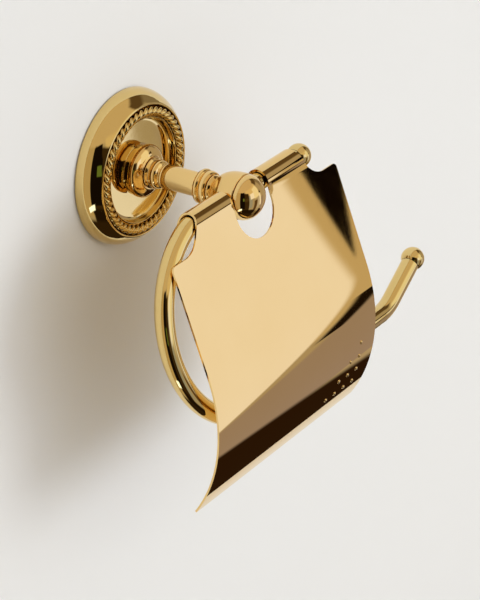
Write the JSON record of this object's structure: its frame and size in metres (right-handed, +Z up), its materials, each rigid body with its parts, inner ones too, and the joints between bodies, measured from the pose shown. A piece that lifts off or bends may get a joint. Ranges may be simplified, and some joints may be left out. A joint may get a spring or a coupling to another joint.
{
  "type": "toilet paper holder",
  "caption": "Wall-mounted toilet paper holder in polished brass: round rope-edged rosette, turned arm, bent open-ended roll rod with ball tips and a hinged curved cover.",
  "frame": {"origin": "centre of the wall bracket's back face, on the wall plane", "axes": "+Y out of the back of the holder into the wall, so the arm reaches out along -Y; +X to the right facing the wall; +Z up"},
  "size_m": [0.1717, 0.1103, 0.1435],
  "materials": {
    "bracket_steel": "plain zinc-plated steel",
    "zinc_steel": "bright zinc-plated steel",
    "brass_rosette": "mirror-polished, gold-coloured",
    "brass_rope": "mirror-polished twisted strands",
    "brass_arm": "mirror-polished, gold-coloured",
    "brass_rod": "mirror-polished, gold-coloured",
    "brass_cover": "mirror-polished sheet, gold-coloured"
  },
  "bodies": {
    "holder": {"wall_bracket": "bracket_steel", "bracket_screw_l": "zinc_steel", "bracket_screw_r": "zinc_steel", "rosette": "brass_rosette", "rope_ring": "brass_rope", "rosette_grub": "zinc_steel", "hub": "brass_arm", "post_screw": "zinc_steel", "post_washer": "zinc_steel", "post": "brass_arm", "knuckle_stud": "zinc_steel", "collar": "brass_arm", "neck_ring": "brass_arm", "knuckle": "brass_arm", "knuckle_cap": "brass_arm", "knuckle_grub": "zinc_steel", "bent_rod": "brass_rod", "end_ball": "brass_rod", "hook_ball": "brass_rod"},
    "lid": {"cover": "brass_cover"}
  },
  "joints": [
    {"name": "cover_hinge", "type": "hinge", "parent": "holder", "child": "lid", "pos_m": [0, -0.0544, 0], "axis": [-1, 0, 0], "range_deg": [0, 198]}
  ]
}
